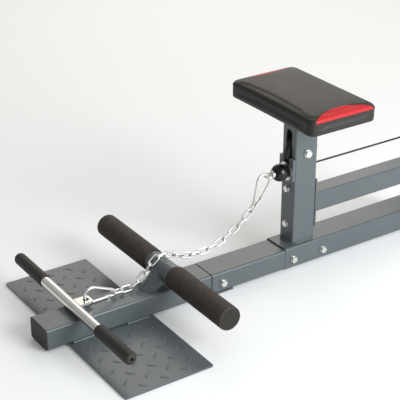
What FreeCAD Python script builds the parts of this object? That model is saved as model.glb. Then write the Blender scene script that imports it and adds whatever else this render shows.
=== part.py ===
import FreeCAD, Part
import math
import os

import Sketcher
from FreeCAD import Placement, Rotation, Vector

# Front station of a home cable machine: a floor rail with a foot plate, a padded
# foot-hold roller, a seat on a slotted post, and a low cable whose ball stop carries
# a chain, two snap hooks and a straight bar.
#
# Frame: +X runs along the rail from the foot plate towards the machine, +Y to the
# left of someone who looks along +X, +Z up. The origin is on the floor, at the
# middle of the overall length, on the rail's centre plane.

doc = FreeCAD.newDocument("FrontStation")
sheet = doc.addObject("Spreadsheet::Sheet", "Dims")

# Distances called *_from_front are measured along X from the front end cap's face.
# Heights are above the floor unless the note says otherwise.
DIMENSIONS = [
    ("overall_length", 1312, "front end cap's face to rear flanges' face"),
    ("fit_gap", 0.5, "gap each side of a tube that slides inside another"),
    ("rest_gap", 0.3, "gap between loose pieces that lie on each other"),
    ("running_gap", 0.05, "radial gap of a part that turns on another"),
    ("beam_width", 88, "front and middle beams, across Y"),
    ("beam_height", 60, "front and middle beams"),
    ("tube_wall", 3, "wall of every square and rectangular tube"),
    ("tube_corner", 6, "outside corner radius of the tubes"),
    ("cap_thickness", 3, "face of the front end cap"),
    ("cap_plug_depth", 18, "how far the end cap reaches into the beam"),
    ("plate_thickness", 5, "foot plate, and the beams' height above the floor"),
    ("plate_length", 255, "foot plate along X"),
    ("plate_width", 658, "foot plate along Y"),
    ("plate_from_front", 63, "foot plate's front edge"),
    ("plate_corner", 4, "corner radius of the foot plate"),
    ("weld_leg", 5, "leg of the fillet welds"),
    ("weld_length", 78, "each weld run along the foot plate"),
    ("joint_one", 509, "middle beam's front end from the front"),
    ("joint_gap", 3.5, "slit between the front and middle beams"),
    ("joint_two", 760, "base rail's front end from the front"),
    ("sleeve_front", 70, "how far a joint sleeve reaches into the beam ahead"),
    ("sleeve_rear", 76, "front joint sleeve's reach behind the joint"),
    ("rear_sleeve_reach", 165, "rear joint sleeve's reach behind the joint"),
    ("joint_plate_length", 72, "flat bar under the front joint"),
    ("rail_width", 90, "base rail across Y"),
    ("rail_rise", 6, "how much higher the base rail is than the beams"),
    ("rail_drop", 1.5, "base rail's bottom below the beams' bottom"),
    ("bolt_level", 31, "frame bolts above the floor"),
    ("beam_bolt", 545, "front joint's bolt from the front"),
    ("rail_bolt_one", 788, "first base rail bolt from the front"),
    ("rail_bolt_two", 895, "second base rail bolt from the front"),
    ("bolt_radius", 5, "frame bolts"),
    ("bolt_head_flats", 17, "frame bolts, across flats"),
    ("bolt_head_height", 6.5, "frame bolts' head"),
    ("nut_height", 8, "frame bolts' nut"),
    ("washer_radius", 10, "frame bolts' washer"),
    ("washer_thickness", 2, "frame bolts' washer"),
    ("post_depth", 78, "seat post along X"),
    ("post_width", 61, "seat post across Y"),
    ("post_from_front", 794, "seat post's front face"),
    ("post_top", 465, "seat post's top end"),
    ("slot_width", 26, "slots in the seat post"),
    ("slot_top", 416, "front slot's rounded top"),
    ("slot_bottom", 276, "front and rear slots' rounded bottom"),
    ("rear_slot_top", 402, "rear slot's rounded top"),
    ("axle_from_front", 836, "pulley axle"),
    ("axle_level", 343.5, "pulley axle"),
    ("axle_radius", 6, "pulley axle"),
    ("axle_head_flats", 19, "pulley axle bolt, across flats"),
    ("axle_washer_radius", 12, "pulley axle's washers"),
    ("pulley_radius", 52.5, "pulley over its rims"),
    ("pulley_groove", 48, "pulley at the bottom of its groove"),
    ("pulley_width", 16, "pulley over its rims"),
    ("pulley_web", 8, "pulley's web between hub and rim"),
    ("hub_radius", 20, "pulley's hub"),
    ("bearing_radius", 14, "ball bearing, outside"),
    ("bearing_width", 8, "ball bearing"),
    ("bearing_ball", 1.75, "ball radius"),
    ("cable_radius", 2.8, "coated steel cable"),
    ("cable_rear_from_front", 1252, "cable's rear end, inside its ferrule"),
    ("guide_thickness", 8, "ball stop's guide plate"),
    ("guide_bottom", 268, "guide plate"),
    ("guide_top", 335, "guide plate"),
    ("ball_radius", 25, "ball stop"),
    ("ball_flat", 20, "ball stop's centre to its flat rear face"),
    ("ball_washer_radius", 27, "washer behind the ball stop"),
    ("ball_washer_thickness", 2, "washer behind the ball stop"),
    ("collar_radius", 11, "collar in front of the ball stop"),
    ("collar_length", 5, "collar in front of the ball stop"),
    ("eye_radius", 11, "eye rings, at the middle of their wire"),
    ("eye_wire", 3, "eye rings' wire radius"),
    ("ferrule_radius", 6, "ferrule on the cable's rear end"),
    ("ferrule_length", 26, "ferrule on the cable's rear end"),
    ("hook_wire", 4, "snap hooks' wire radius"),
    ("hook_wide", 21, "snap hooks' wide end, at the middle of the wire"),
    ("hook_narrow", 9, "snap hooks' narrow end, at the middle of the wire"),
    ("hook_span", 60, "between the centres of a snap hook's two ends"),
    ("gate_wire", 3.2, "snap hook gates' rod radius"),
    ("gate_pin", 1.5, "snap hook gates' pin radius"),
    ("gate_cheek", 1.6, "thickness of a gate's cheek"),
    ("rear_hook_slope", 68, "rear hook's slope below horizontal, in degrees"),
    ("link_wire", 2.5, "chain links' wire radius"),
    ("link_width", 20, "chain links, outside"),
    ("link_pitch", 27.5, "wanted chain pitch"),
    ("link_slack", 0.25, "play of each chain link at each end"),
    ("chain_sag", 57, "sag of the chain between the rear hook and the cross tube"),
    ("chain_leave_angle", 63, "where the chain meets the cross tube, up from +X, in degrees"),
    ("bar_radius", 14.7, "handle bar"),
    ("bar_wall", 1.5, "handle bar's wall"),
    ("bar_length", 612, "handle bar"),
    ("bar_from_front", 104, "handle bar"),
    ("bar_offset", 12, "handle bar's middle to the left of the rail's middle"),
    ("grip_radius", 17.3, "grips"),
    ("grip_length", 160, "grips"),
    ("grip_end", 4, "thickness of a grip's closed end"),
    ("lug_width", 36, "handle lug"),
    ("lug_thickness", 6, "handle lug"),
    ("lug_reach", 57, "handle bar's middle to the lug's rear end"),
    ("lug_hole", 8.5, "handle lug's hole radius"),
    ("roller_from_front", 381, "foot-hold cross tube"),
    ("roller_level", 106.6, "foot-hold cross tube"),
    ("roller_tube", 28.5, "foot-hold cross tube's radius"),
    ("roller_length", 618, "foot-hold over its end plugs"),
    ("foam_radius", 33, "foam rollers"),
    ("foam_inner_end", 55, "foam rollers' inner end from the middle"),
    ("roller_plug", 3, "thickness of the cross tube's end plugs"),
    ("roller_plug_depth", 15, "how far an end plug reaches into the tube"),
    ("stub_radius", 27, "foot-hold stub, a leaning round tube"),
    ("stub_from_front", 343, "foot-hold stub's foot on the front beam"),
    ("upper_rail_size", 60, "upper rail, square"),
    ("upper_rail_level", 181, "upper rail's middle"),
    ("flange_thickness", 5, "upper rail's front flange"),
    ("flange_height", 148, "upper rail's flanges"),
    ("flange_bolt_spacing", 110, "upper rail's flange bolts"),
    ("end_flange_thickness", 8, "rear flanges"),
    ("base_flange_width", 136, "base rail's rear flange"),
    ("base_flange_height", 100, "base rail's rear flange"),
    ("base_hole_spacing_y", 112, "base flange's holes across Y"),
    ("base_hole_spacing_z", 64, "base flange's holes up Z"),
    ("flange_hole", 5.5, "holes in the rear flanges, radius"),
    ("seat_depth", 227, "seat cushion along X"),
    ("seat_width", 370, "seat cushion across Y"),
    ("seat_bottom", 470, "seat cushion's underside"),
    ("seat_height", 48, "seat cushion"),
    ("seat_corner", 22, "seat cushion's corner radius"),
    ("seat_edge", 8, "rounding of the seat cushion's top edge"),
    ("board_inset", 12, "seat board inside the cushion's outline"),
    ("board_thickness", 12, "plywood seat board"),
    ("seat_plate_depth", 150, "steel plate under the seat, along X"),
    ("seat_plate_width", 110, "steel plate under the seat, across Y"),
    ("seat_screw", 4, "seat screws' radius"),
    ("seat_screw_inset", 14, "seat screws from the steel plate's edges"),
]

for row, (alias, number, note) in enumerate(DIMENSIONS, 1):
    sheet.set(f"A{row}", note)
    sheet.set(f"B{row}", str(number))
    sheet.setAlias(f"B{row}", alias)
doc.recompute()

# Places that several pieces share, written as expressions on the sheet.
FRONT = "(-Dims.overall_length / 2)"
REAR = "(Dims.overall_length / 2)"
BEAM_BOTTOM = "Dims.plate_thickness"
BEAM_TOP = "(Dims.plate_thickness + Dims.beam_height)"
RAIL_BOTTOM = "(Dims.plate_thickness - Dims.rail_drop)"
RAIL_HEIGHT = "(Dims.beam_height + Dims.rail_rise)"
RAIL_TOP = f"({RAIL_BOTTOM} + {RAIL_HEIGHT})"
POST_FRONT = f"({FRONT} + Dims.post_from_front)"
POST_REAR = f"({POST_FRONT} + Dims.post_depth)"
POST_MIDDLE = f"({POST_FRONT} + Dims.post_depth / 2)"
AXLE_X = f"({FRONT} + Dims.axle_from_front)"
ROLLER_X = f"({FRONT} + Dims.roller_from_front)"
CABLE_LEVEL = "(Dims.axle_level - Dims.pulley_groove - Dims.cable_radius - Dims.rest_gap)"
BALL_REAR = f"({POST_FRONT} - Dims.guide_thickness - Dims.ball_washer_thickness - Dims.rest_gap)"
BALL_X = f"({BALL_REAR} - Dims.ball_flat)"
BALL_FRONT = f"({BALL_X} - sqrt(Dims.ball_radius ^ 2 - Dims.collar_radius ^ 2))"
EYE_X = f"({BALL_FRONT} - Dims.collar_length - Dims.eye_radius)"
BAR_X = f"({FRONT} + Dims.bar_from_front)"
BAR_LEVEL = f"({BEAM_TOP} + Dims.bar_radius + Dims.rest_gap)"
SEAT_FRONT = f"({POST_MIDDLE} - Dims.seat_depth / 2)"
SEAT_PLATE_THICKNESS = "(Dims.seat_bottom - Dims.post_top)"

ALONG_X = Rotation(Vector(0, 1, 0), 90)
ALONG_Y = Rotation(Vector(1, 0, 0), -90)
ALONG_Z = Rotation()

nodes = []


def value(expression):
    """Number that an expression on the sheet gives."""
    result = sheet.evalExpression(expression)
    return float(getattr(result, "Value", result))


def place(item, x, y, z, turn=ALONG_Z):
    """Bind an object's place to expressions, with a fixed turn."""
    item.Placement = Placement(Vector(), turn)
    item.setExpression("Placement.Base.x", x)
    item.setExpression("Placement.Base.y", y)
    item.setExpression("Placement.Base.z", z)
    return item


def node(item, label):
    """Name an object as one of the pieces that are written out."""
    item.Label = label
    nodes.append(item)
    return item


def block(name, size, corner):
    """Box whose size and lowest corner are expressions."""
    item = doc.addObject("Part::Box", name)
    for side, expression in zip(("Length", "Width", "Height"), size):
        item.setExpression(side, expression)
    return place(item, *corner)


def rod(name, radius, length, start, turn=ALONG_Z):
    """Cylinder from the middle of its first end face."""
    item = doc.addObject("Part::Cylinder", name)
    item.setExpression("Radius", radius)
    item.setExpression("Height", length)
    return place(item, *start, turn)


def hexagon(name, flats, length, start, turn=ALONG_Z):
    """Hexagonal prism from the middle of its first end face."""
    item = doc.addObject("Part::Prism", name)
    item.Polygon = 6
    item.setExpression("Circumradius", f"{flats} / sqrt(3)")
    item.setExpression("Height", length)
    return place(item, *start, turn)


def join(name, shapes):
    item = doc.addObject("Part::MultiFuse", name)
    item.Shapes = shapes
    return item


def cut(name, base, tools):
    item = doc.addObject("Part::Cut", name)
    item.Base = base
    item.Tool = tools[0] if len(tools) == 1 else join(name + "Tools", tools)
    return item


def group(name, shapes):
    """Separate solids kept in one piece, such as a set of equal bolts."""
    item = doc.addObject("Part::Compound", name)
    item.Links = shapes
    return item


def ring(name, outer, inner, length, start, turn=ALONG_Z):
    """Washer, spacer or round tube."""
    return cut(name, rod(name + "Outside", outer, length, start, turn),
               [rod(name + "Bore", inner, length, start, turn)])


def plane_of(body, role):
    return [item for item in body.Origin.OriginFeatures if item.Role == role][0]


def rectangle(sketch, width, height):
    """Rectangle about the sketch's origin, its sides bound to expressions."""
    across, up = value(width) / 2, value(height) / 2
    corners = [Vector(-across, -up), Vector(across, -up), Vector(across, up), Vector(-across, up)]
    first = sketch.GeometryCount
    for index in range(4):
        sketch.addGeometry(Part.LineSegment(corners[index], corners[(index + 1) % 4]), False)
    for index in range(4):
        sketch.addConstraint(Sketcher.Constraint(
            "Coincident", first + index, 2, first + (index + 1) % 4, 1))
        level = "Horizontal" if index % 2 == 0 else "Vertical"
        sketch.addConstraint(Sketcher.Constraint(level, first + index))
    sketch.addConstraint(Sketcher.Constraint("Symmetric", first, 1, first + 2, 1, -1, 1))
    wide = sketch.addConstraint(Sketcher.Constraint("DistanceX", first, 1, first, 2, 2 * across))
    tall = sketch.addConstraint(Sketcher.Constraint(
        "DistanceY", first + 1, 1, first + 1, 2, 2 * up))
    sketch.setExpression(f"Constraints[{wide}]", width)
    sketch.setExpression(f"Constraints[{tall}]", height)


def long_edges(shape, direction, length, test):
    """Names of the straight edges along a direction that pass a test."""
    names = []
    for index, edge in enumerate(shape.Edges, 1):
        start, end = edge.Vertexes[0].Point, edge.Vertexes[-1].Point
        if abs(abs((end - start).dot(direction)) - length) < 1e-3 and test(start):
            names.append(f"Edge{index}")
    return names


def profile_body(name, role, sections, length, radii, corner):
    """Body padded from centred rectangles, with its long edges rounded.

    sections lists (width, height) of the outline and, for a tube, of its inside;
    radii lists the rounding of each."""
    body = doc.addObject("PartDesign::Body", name)
    sketch = body.newObject("Sketcher::SketchObject", name + "Section")
    sketch.AttachmentSupport = [(plane_of(body, role), "")]
    sketch.MapMode = "FlatFace"
    doc.recompute()
    for width, height in sections:
        rectangle(sketch, width, height)
    pad = body.newObject("PartDesign::Pad", name + "Pad")
    pad.Profile = sketch
    pad.setExpression("Length", length)
    doc.recompute()
    direction = Vector(1, 0, 0) if role == "YZ_Plane" else Vector(0, 0, 1)
    base = pad
    for (width, height), radius in zip(sections, radii):
        across = value(width) / 2

        def on_section(point, across=across):
            side = abs(point.y) if role == "YZ_Plane" else abs(point.x)
            return abs(side - across) < 1e-3

        names = long_edges(base.Shape, direction, value(length), on_section)
        rounding = body.newObject("PartDesign::Fillet", f"{name}Round{len(body.Group)}")
        rounding.Base = (base, names)
        rounding.setExpression("Radius", radius)
        doc.recompute()
        base = rounding
    return place(body, *corner)


def tube(name, role, width, height, length, middle):
    """Rectangular steel tube, hollow, with rounded corners."""
    inside = (f"{width} - 2 * Dims.tube_wall", f"{height} - 2 * Dims.tube_wall")
    return profile_body(name, role, [(width, height), inside], length,
                        ["Dims.tube_corner", "Dims.tube_corner - Dims.tube_wall"], middle)


def across_hole(name, radius, x, z, reach):
    """Tool for a hole across Y, past both sides of what it goes through."""
    return rod(name, radius, f"2 * ({reach})", (x, f"-({reach})", z), ALONG_Y)


# ---------------------------------------------------------------- frame bolts
# Each bolt runs across Y: head and washer on the near (-Y) side, nut and washer on
# the other.
FRAME_BOLTS = [
    ("Beam", f"({FRONT} + Dims.beam_bolt)", "Dims.beam_width"),
    ("RailOne", f"({FRONT} + Dims.rail_bolt_one)", "Dims.rail_width"),
    ("RailTwo", f"({FRONT} + Dims.rail_bolt_two)", "Dims.rail_width"),
]
BOLT_HOLE = "(Dims.bolt_radius + Dims.fit_gap / 2)"

# ---------------------------------------------------------------- beams and rails
front_beam_tube = tube(
    "FrontBeamTube", "YZ_Plane", "Dims.beam_width", "Dims.beam_height",
    "Dims.joint_one - Dims.joint_gap - Dims.cap_thickness",
    (f"{FRONT} + Dims.cap_thickness", "0", f"{BEAM_BOTTOM} + Dims.beam_height / 2"))
node(front_beam_tube, "front_beam")

cap_face = profile_body(
    "CapFace", "YZ_Plane", [("Dims.beam_width", "Dims.beam_height")], "Dims.cap_thickness",
    ["Dims.tube_corner"], (FRONT, "0", f"{BEAM_BOTTOM} + Dims.beam_height / 2"))
cap_plug = profile_body(
    "CapPlug", "YZ_Plane",
    [("Dims.beam_width - 2 * Dims.tube_wall - Dims.fit_gap",
      "Dims.beam_height - 2 * Dims.tube_wall - Dims.fit_gap")],
    "Dims.cap_thickness + Dims.cap_plug_depth", ["Dims.tube_corner - Dims.tube_wall"],
    (FRONT, "0", f"{BEAM_BOTTOM} + Dims.beam_height / 2"))
node(join("FrontCap", [cap_face, cap_plug]), "front_end_cap")

middle_beam_tube = tube(
    "MiddleBeamTube", "YZ_Plane", "Dims.beam_width", "Dims.beam_height",
    "Dims.joint_two - Dims.joint_one",
    (f"{FRONT} + Dims.joint_one", "0", f"{BEAM_BOTTOM} + Dims.beam_height / 2"))
node(cut("MiddleBeam", middle_beam_tube, [
    across_hole("MiddleBeamHole", BOLT_HOLE, FRAME_BOLTS[0][1], "Dims.bolt_level",
                "Dims.beam_width")]), "middle_beam")

base_rail_tube = tube(
    "BaseRailTube", "YZ_Plane", "Dims.rail_width", RAIL_HEIGHT,
    "Dims.overall_length - Dims.joint_two - Dims.end_flange_thickness",
    (f"{FRONT} + Dims.joint_two", "0", f"{RAIL_BOTTOM} + {RAIL_HEIGHT} / 2"))
node(cut("BaseRail", base_rail_tube, [
    across_hole(f"{name}Hole", BOLT_HOLE, x, "Dims.bolt_level", "Dims.rail_width")
    for name, x, _ in FRAME_BOLTS[1:]]), "base_rail")

# Sleeves hidden inside the two joints: they carry the load, the bolts clamp them.
SLEEVE_WIDTH = "(Dims.beam_width - 2 * Dims.tube_wall - 2 * Dims.fit_gap)"
SLEEVE_HEIGHT = "(Dims.beam_height - 2 * Dims.tube_wall - 2 * Dims.fit_gap)"
for label, joint, reach, bolts in (
        ("front_joint_sleeve", "Dims.joint_one", "Dims.sleeve_rear", FRAME_BOLTS[:1]),
        ("rear_joint_sleeve", "Dims.joint_two", "Dims.rear_sleeve_reach", FRAME_BOLTS[1:])):
    word = label.title().replace("_", "")
    sleeve = profile_body(
        word + "Tube", "YZ_Plane",
        [(SLEEVE_WIDTH, SLEEVE_HEIGHT),
         (f"{SLEEVE_WIDTH} - 2 * Dims.tube_wall", f"{SLEEVE_HEIGHT} - 2 * Dims.tube_wall")],
        f"Dims.sleeve_front + {reach}", ["Dims.tube_wall + 1", "1"],
        (f"{FRONT} + {joint} - Dims.sleeve_front", "0", f"{BEAM_BOTTOM} + Dims.beam_height / 2"))
    holes = [across_hole(f"{word}{name}Hole", BOLT_HOLE, x, "Dims.bolt_level", "Dims.rail_width")
             for name, x, _ in bolts]
    node(cut(word, sleeve, holes), label)

node(block("JointPlate", ("Dims.joint_plate_length", "Dims.beam_width", "Dims.plate_thickness"),
           (f"{FRONT} + Dims.joint_one - Dims.joint_gap / 2", "-Dims.beam_width / 2", "0")),
     "joint_floor_plate")

# ---------------------------------------------------------------- foot plate
node(profile_body(
    "FootPlate", "XY_Plane", [("Dims.plate_length", "Dims.plate_width")],
    "Dims.plate_thickness", ["Dims.plate_corner"],
    (f"{FRONT} + Dims.plate_from_front + Dims.plate_length / 2", "0", "0")), "foot_plate")


def bead(name, length, start, outward, upward):
    """Quarter-round weld bead whose flat faces lie on the two pieces that it joins."""
    run = doc.addObject("Part::Cylinder", name)
    run.Angle = 90
    run.setExpression("Radius", "Dims.weld_leg")
    run.setExpression("Height", length)
    return place(run, *start, Rotation(outward, upward, outward.cross(upward), "ZXY"))


UP = Vector(0, 0, 1)
LEFT = Vector(0, 1, 0)
AHEAD = Vector(1, 0, 0)

# Four weld runs in the corner between the beam's sides and the plate's top.
WELD_MARGIN = "(2 * Dims.plate_corner)"
plate_beads = []
for end, start in (("Front", f"{FRONT} + Dims.plate_from_front + {WELD_MARGIN}"),
                   ("Rear", f"{FRONT} + Dims.plate_from_front + Dims.plate_length"
                            f" - Dims.weld_length - {WELD_MARGIN}")):
    plate_beads.append(bead(f"PlateWeldLeft{end}", "Dims.weld_length",
                            (start, "Dims.beam_width / 2", "Dims.plate_thickness"), LEFT, UP))
    plate_beads.append(bead(f"PlateWeldRight{end}", "Dims.weld_length",
                            (start, "-Dims.beam_width / 2", "Dims.plate_thickness"), UP, -LEFT))
node(group("PlateWelds", plate_beads), "foot_plate_welds")

# ---------------------------------------------------------------- foot-hold
tube_half = "(Dims.roller_length / 2 - Dims.roller_plug)"
node(ring("RollerTube", "Dims.roller_tube", "Dims.roller_tube - Dims.tube_wall",
          f"2 * {tube_half}", (ROLLER_X, f"-{tube_half}", "Dims.roller_level"), ALONG_Y),
     "roller_cross_tube")

# The stub leans from the front beam's top to the cross tube, and is cut to fit both.
STUB_RISE = f"(Dims.roller_level - {BEAM_TOP})"
STUB_RUN = "(Dims.roller_from_front - Dims.stub_from_front)"
STUB_SINK = "(2 * Dims.stub_radius)"
stub_rod = rod("StubRod", "Dims.stub_radius",
               f"sqrt({STUB_RISE} ^ 2 + {STUB_RUN} ^ 2) * (1 + {STUB_SINK} / {STUB_RISE})",
               (f"{FRONT} + Dims.stub_from_front - {STUB_SINK} * {STUB_RUN} / {STUB_RISE}", "0",
                f"{BEAM_TOP} - {STUB_SINK}"), Rotation(LEFT, 30))
stub_rod.setExpression("Placement.Rotation.Angle", f"atan2({STUB_RUN}; {STUB_RISE})")
node(cut("RollerStub", stub_rod, [
    block("StubFoot", ("8 * Dims.stub_radius", "4 * Dims.stub_radius", f"2 * {STUB_SINK}"),
          (f"{FRONT} + Dims.stub_from_front - 4 * Dims.stub_radius", "-2 * Dims.stub_radius",
           f"{BEAM_TOP} - 2 * {STUB_SINK}")),
    rod("StubSaddle", "Dims.roller_tube", "4 * Dims.stub_radius",
        (ROLLER_X, "-2 * Dims.stub_radius", "Dims.roller_level"), ALONG_Y)]), "roller_stub")

FOAM_LENGTH = "(Dims.roller_length / 2 - Dims.foam_inner_end)"
PLUG_RADIUS = "(Dims.roller_tube - Dims.tube_wall - Dims.fit_gap / 2)"
for side, foam_start, face_start, plug_start in (
        ("left", "Dims.foam_inner_end", "Dims.roller_length / 2 - Dims.roller_plug",
         "Dims.roller_length / 2 - Dims.roller_plug - Dims.roller_plug_depth"),
        ("right", "-Dims.roller_length / 2", "-Dims.roller_length / 2",
         "-Dims.roller_length / 2")):
    word = side.title()
    node(ring(f"Foam{word}", "Dims.foam_radius", "Dims.roller_tube + Dims.running_gap",
              FOAM_LENGTH, (ROLLER_X, foam_start, "Dims.roller_level"), ALONG_Y),
         f"foam_roller_{side}")
    node(join(f"RollerPlug{word}", [
        rod(f"RollerPlugFace{word}", "Dims.roller_tube - Dims.fit_gap", "Dims.roller_plug",
            (ROLLER_X, face_start, "Dims.roller_level"), ALONG_Y),
        rod(f"RollerPlugStem{word}", PLUG_RADIUS, "Dims.roller_plug + Dims.roller_plug_depth",
            (ROLLER_X, plug_start, "Dims.roller_level"), ALONG_Y)]), f"roller_plug_{side}")

# ---------------------------------------------------------------- seat post
FLANGE_BOLT_LEVELS = [f"(Dims.upper_rail_level {sign} Dims.flange_bolt_spacing / 2)"
                      for sign in "+-"]
AXLE_HOLE = "(Dims.axle_radius + Dims.fit_gap / 2)"


def slot(name, x, depth, bottom, top):
    """Upright slot with round ends, cut through along X."""
    return [
        block(f"{name}Middle", (depth, "Dims.slot_width", f"{top} - {bottom} - Dims.slot_width"),
              (x, "-Dims.slot_width / 2", f"{bottom} + Dims.slot_width / 2")),
        rod(f"{name}Top", "Dims.slot_width / 2", depth,
            (x, "0", f"{top} - Dims.slot_width / 2"), ALONG_X),
        rod(f"{name}Bottom", "Dims.slot_width / 2", depth,
            (x, "0", f"{bottom} + Dims.slot_width / 2"), ALONG_X)]


post_tube = tube("SeatPostTube", "XY_Plane", "Dims.post_depth", "Dims.post_width",
                 f"Dims.post_top - {RAIL_TOP}", (POST_MIDDLE, "0", RAIL_TOP))
post_tools = slot("FrontSlot", f"{POST_FRONT} - Dims.tube_wall", "3 * Dims.tube_wall",
                  "Dims.slot_bottom", "Dims.slot_top")
post_tools += slot("RearSlot", f"{POST_REAR} - 2 * Dims.tube_wall", "3 * Dims.tube_wall",
                   "Dims.slot_bottom", "Dims.rear_slot_top")
post_tools.append(across_hole("PostAxleHole", AXLE_HOLE, AXLE_X, "Dims.axle_level",
                              "Dims.post_width"))
for index, level in enumerate(FLANGE_BOLT_LEVELS):
    post_tools.append(rod(f"PostBoltHole{index}", BOLT_HOLE, "2 * Dims.post_depth",
                          (f"{POST_FRONT} - Dims.post_depth / 2", "0", level), ALONG_X))
node(cut("SeatPost", post_tube, post_tools), "seat_post")

# Weld beads between the straight stretches of the post's foot and the base rail.
FOOT_DEPTH = "(Dims.post_depth - 2 * Dims.tube_corner)"
FOOT_WIDTH = "(Dims.post_width - 2 * Dims.tube_corner)"
node(group("PostWelds", [
    bead("PostWeldLeft", FOOT_DEPTH,
         (f"{POST_FRONT} + Dims.tube_corner", "Dims.post_width / 2", RAIL_TOP), LEFT, UP),
    bead("PostWeldRight", FOOT_DEPTH,
         (f"{POST_FRONT} + Dims.tube_corner", "-Dims.post_width / 2", RAIL_TOP), UP, -LEFT),
    bead("PostWeldFront", FOOT_WIDTH,
         (POST_FRONT, "Dims.tube_corner - Dims.post_width / 2", RAIL_TOP), -AHEAD, UP),
    bead("PostWeldRear", FOOT_WIDTH,
         (POST_REAR, "Dims.tube_corner - Dims.post_width / 2", RAIL_TOP), UP, AHEAD)]),
    "seat_post_welds")

# ---------------------------------------------------------------- upper rail
UPPER_BOTTOM = "(Dims.upper_rail_level - Dims.upper_rail_size / 2)"
FLANGE_BOTTOM = "(Dims.upper_rail_level - Dims.flange_height / 2)"
node(tube("UpperRail", "YZ_Plane", "Dims.upper_rail_size", "Dims.upper_rail_size",
          f"{REAR} - Dims.end_flange_thickness - {POST_REAR} - Dims.flange_thickness",
          (f"{POST_REAR} + Dims.flange_thickness", "0", "Dims.upper_rail_level")), "upper_rail")

for label, start, thickness, hole in (
        ("upper_rail_front_flange", POST_REAR, "Dims.flange_thickness", BOLT_HOLE),
        ("upper_rail_rear_flange", f"{REAR} - Dims.end_flange_thickness",
         "Dims.end_flange_thickness", "Dims.flange_hole")):
    word = label.title().replace("_", "")
    plate = block(f"{word}Plate", (thickness, "Dims.upper_rail_size", "Dims.flange_height"),
                  (start, "-Dims.upper_rail_size / 2", FLANGE_BOTTOM))
    node(cut(word, plate, [
        rod(f"{word}Hole{index}", hole, f"3 * {thickness}", (f"{start} - {thickness}", "0", level),
            ALONG_X) for index, level in enumerate(FLANGE_BOLT_LEVELS)]), label)

base_flange = block("BaseFlangePlate", ("Dims.end_flange_thickness", "Dims.base_flange_width",
                                        "Dims.base_flange_height"),
                    (f"{REAR} - Dims.end_flange_thickness", "-Dims.base_flange_width / 2", "0"))
node(cut("BaseFlange", base_flange, [
    rod(f"BaseFlangeHole{across}{up}", "Dims.flange_hole", "3 * Dims.end_flange_thickness",
        (f"{REAR} - 2 * Dims.end_flange_thickness",
         f"({across} - 0.5) * Dims.base_hole_spacing_y",
         f"Dims.base_flange_height / 2 + ({up} - 0.5) * Dims.base_hole_spacing_z"), ALONG_X)
    for across in (0, 1) for up in (0, 1)]), "base_rail_rear_flange")

# ---------------------------------------------------------------- bolts, nuts, washers
bolts, nuts, washers = [], [], []


def bolt_set(name, place_at, turn, grip):
    """Bolt, nut and two washers clamped on a stack of parts of thickness grip.

    place_at(distance) gives the point that far along the bolt from the face under
    the head's washer; the bolt points along the turned Z axis."""
    bolts.append(join(name + "Bolt", [
        hexagon(name + "Head", "Dims.bolt_head_flats", "Dims.bolt_head_height",
                place_at("-(Dims.washer_thickness + Dims.bolt_head_height)"), turn),
        rod(name + "Shank", "Dims.bolt_radius",
            f"{grip} + 2 * Dims.washer_thickness + Dims.nut_height + Dims.bolt_radius",
            place_at("-Dims.washer_thickness"), turn)]))
    nuts.append(cut(name + "Nut", hexagon(
        name + "NutBody", "Dims.bolt_head_flats", "Dims.nut_height",
        place_at(f"{grip} + Dims.washer_thickness"), turn),
        [rod(name + "NutBore", "Dims.bolt_radius", "Dims.nut_height",
             place_at(f"{grip} + Dims.washer_thickness"), turn)]))
    for side, distance in (("Near", "-Dims.washer_thickness"), ("Far", grip)):
        washers.append(ring(f"{name}Washer{side}", "Dims.washer_radius", BOLT_HOLE,
                            "Dims.washer_thickness", place_at(distance), turn))


for name, x, width in FRAME_BOLTS:
    bolt_set(name, lambda along, x=x, width=width: (x, f"-{width} / 2 + {along}",
                                                    "Dims.bolt_level"), ALONG_Y, width)
for index, level in enumerate(FLANGE_BOLT_LEVELS):
    bolt_set(f"Flange{index}", lambda along, level=level: (f"{POST_FRONT} + {along}", "0", level),
             ALONG_X, "(Dims.post_depth + Dims.flange_thickness)")
node(group("FrameBolts", bolts), "frame_bolts")
node(group("FrameNuts", nuts), "frame_nuts")
node(group("FrameWashers", washers), "frame_washers")

# ---------------------------------------------------------------- pulley and its axle
RIM_LAND = "(Dims.pulley_width / 10)"
GROOVE_HALF = "(Dims.cable_radius + Dims.rest_gap)"
FLANK = f"(Dims.pulley_width / 2 - {RIM_LAND} - {GROOVE_HALF})"


def wheel_slice(name, first, second, start, length):
    """Slice of the pulley: a disc, or a cone where the two radii differ."""
    if first == second:
        return rod(name, first, length, (AXLE_X, start, "Dims.axle_level"), ALONG_Y)
    item = doc.addObject("Part::Cone", name)
    item.setExpression("Radius1", first)
    item.setExpression("Radius2", second)
    item.setExpression("Height", length)
    return place(item, AXLE_X, start, "Dims.axle_level", ALONG_Y)


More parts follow.
